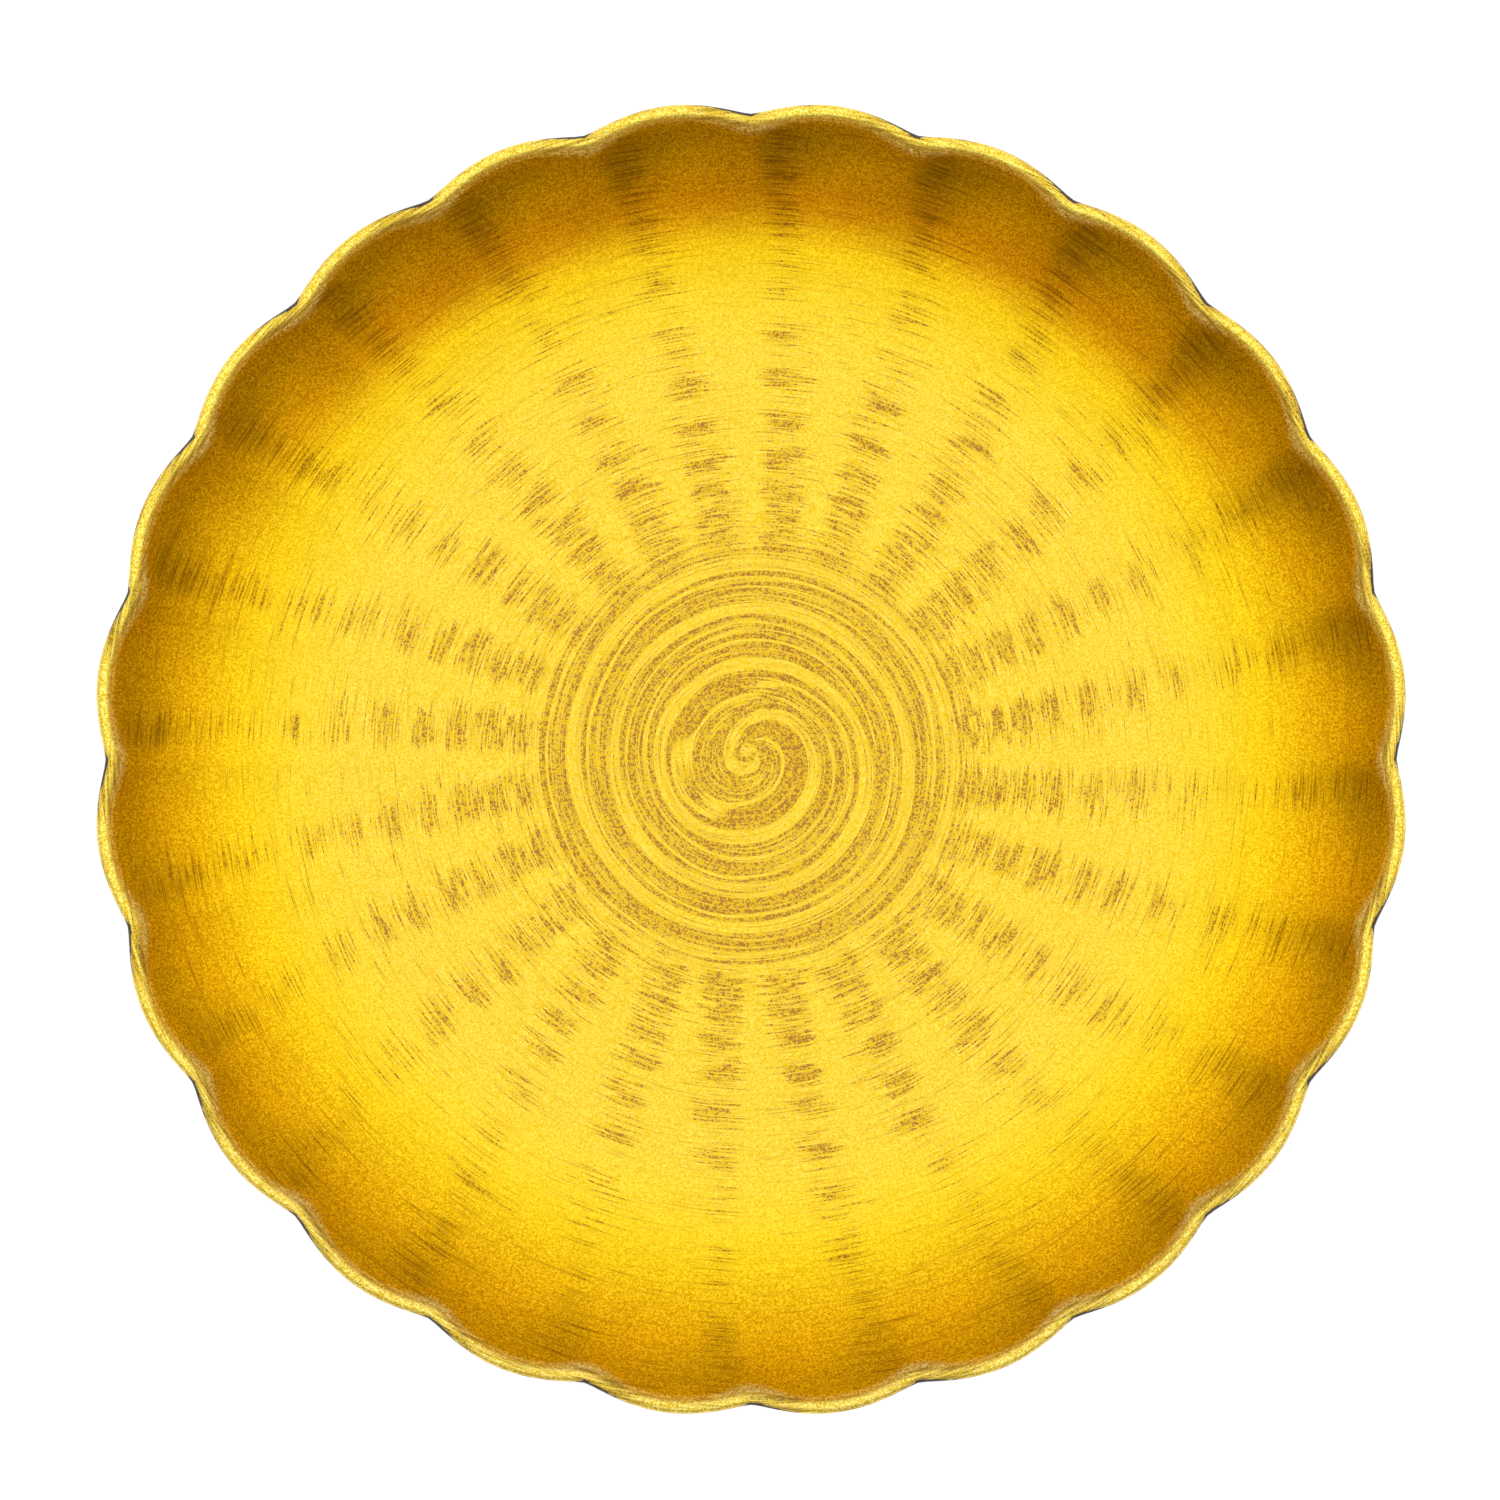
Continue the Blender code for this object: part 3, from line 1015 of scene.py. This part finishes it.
@dataclass(frozen=True)
class PressedFelt:
    """Dark pressed felt with loose fibres."""

    dark: Colour = srgb(44, 40, 38)
    pale: Colour = srgb(86, 80, 74)

    def material(self) -> bpy.types.Material:
        """Builds the node tree: fine noise makes the fibres, which stand up where they are pale.

        Returns:
            The material.
        """
        p = Paint("pressed_felt")
        fibres = p.noise(p.place(), 5.0, 4.0, 0.7)
        colour = p.mix(p.ramp(fibres, 0.3, 0.7), self.dark, self.pale)
        normal = p.bump(fibres, 0.25 * MM, 0.8)
        return p.set(base_color=colour, roughness=0.95, sheen_weight=0.4, normal=normal)


@dataclass
class TraySheet:
    """The pressed sheet: floor, fluted wall and curled rim."""

    sizes: Sizes
    columns_per_flute: int = 20  # columns of the mesh on one flute
    floor_rows: int = 16  # rows on the upper side of the floor's fluted part
    wall_rows: int = 36  # rows on the upper side of the wall
    fillet_rows: int = 6  # rows on the upper side of the fillet
    curl_rows: int = 42  # rows on the outer side of the curl
    node: str = "tray_body"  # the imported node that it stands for
    # Radii in mm of the rows on the plain part of the floor
    plain_floor: tuple[float, ...] = (4.0, 12.0, 22.0, 32.0, 42.0, 51.0)
    under_floor: tuple[float, ...] = (6.0, 24.0, 42.0)  # the same for the underside
    top_map: float = 0.445  # radius of the upper side's disc on the map, whose own side is 1
    under_map: float = 0.125  # radius of the underside's disc
    map_margin: float = 0.005  # from each disc to the map's edges

    def face(
        self, side: float, plain: tuple[float, ...], floor_rows: int, coarse: int
    ) -> tuple[np.ndarray, np.ndarray]:
        """One face of the sheet, with the rows that it needs.

        Args:
            side: 1 for the upper face and -1 for the lower one.
            plain: radii in mm of the rows on the plain part of the floor.
            floor_rows: rows on its fluted part.
            coarse: what the other numbers of rows are divided by.

        Returns:
            rows x 2 points as (outwards, up), and the radius of the sheet's middle at each.
        """
        s = self.sizes
        section = SheetSection(s)
        fluted = np.linspace(s.flute_start, s.floor_radius, floor_rows, endpoint=False)
        points, heading = section.stations(
            np.concatenate([np.array(plain) * MM, fluted]),
            self.wall_rows // coarse,
            self.fillet_rows // coarse,
            self.curl_rows // coarse,
        )
        return section.face(side, points, heading), points[:, 0]

    def build(self) -> bpy.types.Object:
        """Builds the sheet as one closed surface with its map for baking.

        The upper face goes out to the curl's end and the lower one comes back. Both are carried
        around the Z axis. The run from the lip's crest is counted on the upper face, and the lower
        face has the run of the curl's end.

        Returns:
            The sheet.
        """
        upper, upper_along = self.face(1, self.plain_floor, self.floor_rows, 1)
        lower, lower_along = self.face(-1, self.under_floor, self.floor_rows // 3, 2)
        outline = np.concatenate([upper, lower[::-1]])
        along = np.concatenate([upper_along, lower_along[::-1]])
        angle = full_circle(self.sizes.flute_count * self.columns_per_flute)
        run = run_along(upper)
        lip_run = run[np.argmax(upper[:, 1])] - run
        lip_run = np.concatenate([lip_run, np.full(len(lower), lip_run[-1])])
        lip_runs = np.repeat(lip_run[:, None], len(angle), axis=1)
        patch = Patch(Flutes(self.sizes).place(outline, along, angle), lip_runs, joined=False)
        made = Surface.build("tray_sheet", patch)
        self.lay_map(made, outline, angle, len(upper))
        made.data.materials.append(BrushedGold(self.sizes).material())
        return made

    @staticmethod
    def disc(middle: float, reach: np.ndarray, angle: np.ndarray) -> np.ndarray:
        """Lays the sheet's corners on a disc of the map, with both poles in its middle.

        Args:
            middle: where the disc's middle is, across the map and up it.
            reach: distance of each row from there.
            angle: the angles of the columns.

        Returns:
            corners x 2 places on the map.
        """
        spokes = np.stack([np.cos(angle), np.sin(angle)], -1)
        rows = middle + reach[:, None, None] * spokes
        return np.concatenate([rows.reshape(-1, 2), np.full((2, 2), middle)])

    def lay_map(
        self, made: bpy.types.Object, outline: np.ndarray, angle: np.ndarray, upper_rows: int
    ) -> None:
        """Lays the sheet's faces on its map as two discs, one for each side.

        A corner's distance from its disc's middle is its distance along the section, so the wall
        and the curl get as much of the map as the floor.

        Args:
            made: the sheet.
            outline: its section, as (outwards, up).
            angle: the angles of its columns.
            upper_rows: how many of the section's rows are on the upper face.
        """
        mesh, rows, columns = made.data, len(outline), len(angle)
        run = run_along(outline) + outline[0, 0]
        edge, end = run[upper_rows - 1], run[-1] + outline[-1, 0]
        top_reach = self.top_map * (run / edge)
        under_reach = self.under_map * ((end - run) / (end - edge))
        top = self.disc(self.top_map + self.map_margin, top_reach, angle)
        under = self.disc(1 - self.under_map - self.map_margin, under_reach, angle)
        corners = np.zeros(len(mesh.loops), np.int64)
        mesh.loops.foreach_get("vertex_index", corners)
        counts = np.zeros(len(mesh.polygons), np.int64)
        mesh.polygons.foreach_get("loop_total", counts)
        grid_row = np.repeat(np.arange(rows - 1), columns)
        face_row = np.concatenate([grid_row, np.full(columns, 0), np.full(columns, rows)])
        on_top = np.repeat(face_row < upper_rows - 1, counts)
        uv = np.where(on_top[:, None], top[corners], under[corners])
        layer = mesh.uv_layers.new(name=BAKE_MAP)
        layer.data.foreach_set("uv", uv.astype(np.float32).ravel())


@dataclass
class RimWire:
    """The wire inside the curl."""

    sizes: Sizes
    columns_per_flute: int = 16  # columns of the mesh on one flute
    sides: int = 16  # points around the wire
    node: str = "rim_wire"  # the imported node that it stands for

    def build(self) -> bpy.types.Object:
        """Carries a circle around the rim, through every scallop.

        Returns:
            The wire.
        """
        s = self.sizes
        round_wire = s.wire_radius * left_of(full_circle(self.sides))
        section = SheetSection(s).wire_place() + round_wire
        angle = full_circle(s.flute_count * self.columns_per_flute)
        along = np.full(self.sides, s.wire_circle)
        points = Flutes(s).place(section[::-1], along, angle)
        made = Surface.plain("rim_wire_drawn", points, joined=True)
        made.data.materials.append(DrawnSteel().material())
        return made


@dataclass
class FootRing:
    """The turned ring under the floor, with the solder that runs into its upper corners."""

    sizes: Sizes
    columns: int = 288  # columns of the mesh
    corner: float = 0.8 * MM  # radius of the lower corners
    corner_rows: int = 7  # rows on one corner
    solder: float = 0.9 * MM  # radius of the solder's hollow
    crease: float = math.radians(40.0)  # edges sharper than this stay sharp
    node: str = "foot_ring"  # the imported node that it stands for

    def build(self) -> bpy.types.Object:
        """Turns a section about the Z axis: round corners below, hollow quarter circles on top.

        Returns:
            The ring.
        """
        low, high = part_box(self.node)
        middle = self.sizes.floor_radius - self.sizes.foot_inset
        half = high.x - middle
        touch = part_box("tray_body")[0].z
        quarter = quarter_circle(self.corner_rows)
        sine, cosine = np.sin(quarter), np.cos(quarter)
        r = self.corner
        corner = np.stack([half - r + r * sine, low.z + r - r * cosine], -1)
        hollow = np.stack([half + self.solder * (1 - cosine), touch - self.solder * (1 - sine)], -1)
        side = np.concatenate([corner, hollow])
        other = side[::-1] * [-1, 1]
        section = np.concatenate([side, other])[::-1] + [middle, 0]
        made = Surface.plain("foot_ring_turned", turned(section, self.columns), joined=True)
        made.data.set_sharp_from_angle(angle=self.crease)
        made.data.materials.append(DarkBrass().material())
        return made


@dataclass
class FeltPad:
    """A felt disc under the foot ring, soft at its edge."""

    number: int  # which pad it is, from 1
    columns: int = 64  # columns of the mesh
    edge: float = 0.35 * MM  # radius of the soft edge
    edge_rows: int = 5  # rows on it

    @property
    def node(self) -> str:
        """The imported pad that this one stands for."""
        return f"felt_pad_{self.number}"

    def build(self, felt: bpy.types.Material) -> bpy.types.Object:
        """Turns a disc about the pad's own middle, with a quarter circle at each edge.

        Args:
            felt: the material that the pads share.

        Returns:
            The pad.
        """
        low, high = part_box(self.node)
        middle = (low + high) / 2
        radius = (high.x - low.x) / 2
        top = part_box("foot_ring")[0].z
        quarter = quarter_circle(self.edge_rows)
        inset, drop = self.edge * (1 - np.sin(quarter)), self.edge * (1 - np.cos(quarter))
        upper = np.stack([radius - inset, top - drop], -1)
        lower = np.stack([radius - drop, low.z + inset], -1)
        section = np.concatenate([[[radius / 2, top]], upper, lower, [[radius / 2, low.z]]])
        points = turned(section, self.columns, (middle.x, middle.y))
        made = Surface.plain(f"felt_pad_soft_{self.number}", points, joined=False)
        made.data.materials.append(felt)
        return made


@dataclass
class Studio:
    """The floor, the soft light and the camera straight above."""

    floor_size: float = 24.0  # side of the floor
    floor_colour: Colour = (0.85, 0.85, 0.85)  # its colour
    floor_glow: float = 0.5  # strength of its own light
    lens: float = 85.0  # focal length in mm
    sensor: float = 36.0  # width of the camera's sensor in mm
    view_width: float = 375.75 * MM  # what the view shows across, at the height that it is aimed at
    aim: Span = (-0.29 * MM, 2.32 * MM)  # where the camera points
    aim_height: float = 29.9 * MM  # the height there
    sky_lean: Place = (0.0, 0.25, 1.0)  # the direction whose share the sky's strength follows
    sky_heights: Span = (-0.1, 0.85)  # shares at which the sky is dimmest and brightest
    sky_strengths: Span = (0.22, 1.24)  # the dimmest and brightest strength

    def build(self) -> None:
        """Makes everything around the tray, and shows colours as they are."""
        self.floor()
        self.sky()
        self.camera()
        bpy.context.scene.view_settings.view_transform = "Standard"

    def floor(self) -> None:
        """Makes a pale floor that glows a little, so its shadows stay faint."""
        half = self.floor_size / 2
        mesh = bpy.data.meshes.new("floor")
        corners = [(-half, -half, 0.0), (half, -half, 0.0), (half, half, 0.0), (-half, half, 0.0)]
        mesh.from_pydata(corners, [], [(0, 1, 2, 3)])
        floor = bpy.data.objects.new("floor", mesh)
        bpy.context.scene.collection.objects.link(floor)
        p = Paint("pale_floor")
        p.set(base_color=self.floor_colour, roughness=0.9)
        p.set(emission_color=WHITE, emission_strength=self.floor_glow)
        mesh.materials.append(p.material)
        floor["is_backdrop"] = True

    def sky(self) -> None:
        """Makes a soft dome: brightest overhead and dimmer low down, more so on one side.

        Its strength is an S-curve of the height plus a share of the far side's direction.
        """
        world = bpy.data.worlds.new("soft_dome")
        bpy.context.scene.world = world
        world.use_nodes = True
        tree = world.node_tree
        back = tree.nodes["Background"]
        place = tree.nodes.new("ShaderNodeTexCoord")
        lean = tree.nodes.new("ShaderNodeVectorMath")
        lean.operation = "DOT_PRODUCT"
        lean.inputs[1].default_value = self.sky_lean
        ramp = tree.nodes.new("ShaderNodeMapRange")
        ramp.interpolation_type = "SMOOTHSTEP"
        for socket, value in zip(ramp.inputs[1:5], (*self.sky_heights, *self.sky_strengths)):
            socket.default_value = value
        tree.links.new(place.outputs["Generated"], lean.inputs[0])
        tree.links.new(lean.outputs["Value"], ramp.inputs[0])
        tree.links.new(ramp.outputs[0], back.inputs["Strength"])
        back.inputs["Color"].default_value = (*WHITE, 1.0)

    def camera(self) -> None:
        """Hangs a camera that looks straight down.

        Its distance is the view's width times the focal length, over the sensor's width.
        """
        data = bpy.data.cameras.new("camera")
        data.lens = self.lens
        data.sensor_width = self.sensor
        distance = self.view_width * self.lens / self.sensor
        made = bpy.data.objects.new("camera", data)
        made.location = (*self.aim, self.aim_height + distance)
        bpy.context.scene.collection.objects.link(made)
        bpy.context.scene.camera = made


def attach(made: bpy.types.Object, node: str, slot: Slot) -> None:
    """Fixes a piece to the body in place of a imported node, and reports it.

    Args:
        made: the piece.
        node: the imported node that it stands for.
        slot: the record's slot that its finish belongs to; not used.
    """
    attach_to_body(made, BODY)
    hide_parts(node)
    log.info("%s stands for %s with %d faces", made.name, node, len(made.data.polygons))


def main() -> None:
    """Builds the tray and the studio."""
    logging.basicConfig(level=logging.INFO, format="%(name)s: %(message)s")
    sizes = Sizes()
    sheet = TraySheet(sizes)
    attach(sheet.build(), sheet.node, Slot.GOLD)
    wire = RimWire(sizes)
    attach(wire.build(), wire.node, Slot.WIRE)
    ring = FootRing(sizes)
    attach(ring.build(), ring.node, Slot.FOOT)
    felt = PressedFelt().material()
    for number in range(1, PAD_COUNT + 1):
        pad = FeltPad(number)
        attach(pad.build(felt), pad.node, Slot.FELT)
    Studio().build()
    boxes = {"cad": CAD_BOX, "visual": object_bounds()}
    {key: [list(corner) for corner in box] for key, box in boxes.items()}


if __name__ == "__main__":
    main()
